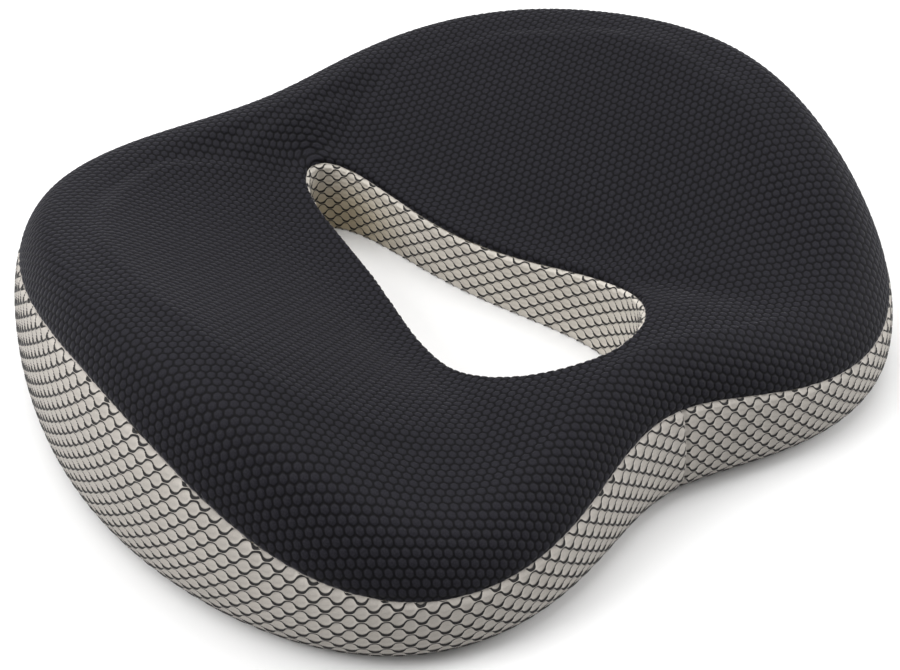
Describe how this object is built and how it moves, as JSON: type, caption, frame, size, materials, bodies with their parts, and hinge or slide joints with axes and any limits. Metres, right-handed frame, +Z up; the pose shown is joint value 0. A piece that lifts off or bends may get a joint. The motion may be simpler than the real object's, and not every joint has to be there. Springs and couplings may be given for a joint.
{
  "type": "seat cushion",
  "caption": "Butterfly-shaped contoured ring seat cushion with a pear-shaped through-hole, black mesh top, grey mesh sides and a zipped base.",
  "frame": {"origin": "on the floor plane, at the centre of the cushion's footprint", "axes": "+X from lobe to lobe, -Y to the front saddle where the thighs pass, +Z up out of the seat"},
  "size_m": [0.45, 0.3827, 0.1113],
  "materials": {
    "foam": "matte moulded foam",
    "black_mesh": "matte honeycomb spacer mesh",
    "grey_mesh": "warm grey beaded spacer mesh with dark outlines",
    "grip_fabric": "black woven fabric with silicone grip dots",
    "zip_tape": "woven tape",
    "zip_coil": "satin nylon coil",
    "zip_stop": "satin",
    "zip_metal": "black satin lacquer",
    "label": "blank white satin ribbon"
  },
  "bodies": {
    "cushion": {"foam_core": "foam", "top_panel": "black_mesh", "side_band": "grey_mesh", "hole_band": "grey_mesh", "base_panel": "grip_fabric", "rear_base_strip": "grip_fabric", "zip_tape_front": "zip_tape", "zip_tape_rear": "zip_tape", "zip_coil_front": "zip_coil", "zip_coil_rear": "zip_coil", "zip_bottom_stop": "zip_stop", "zip_top_stop_front": "zip_stop", "zip_top_stop_rear": "zip_stop", "care_label": "label"},
    "slider": {"zip_slider": "zip_metal"},
    "pull_tab": {"zip_pull_tab": "zip_metal"}
  },
  "joints": [
    {"name": "zip_slide", "type": "slide", "parent": "cushion", "child": "slider", "axis": [-1, 0, 0], "range_m": [0, 0.196]},
    {"name": "pull_tab_hinge", "type": "hinge", "parent": "slider", "child": "pull_tab", "pos_m": [0.098, 0.146, 0.00215], "axis": [0, 1, 0], "range_deg": [-180, 0]}
  ]
}
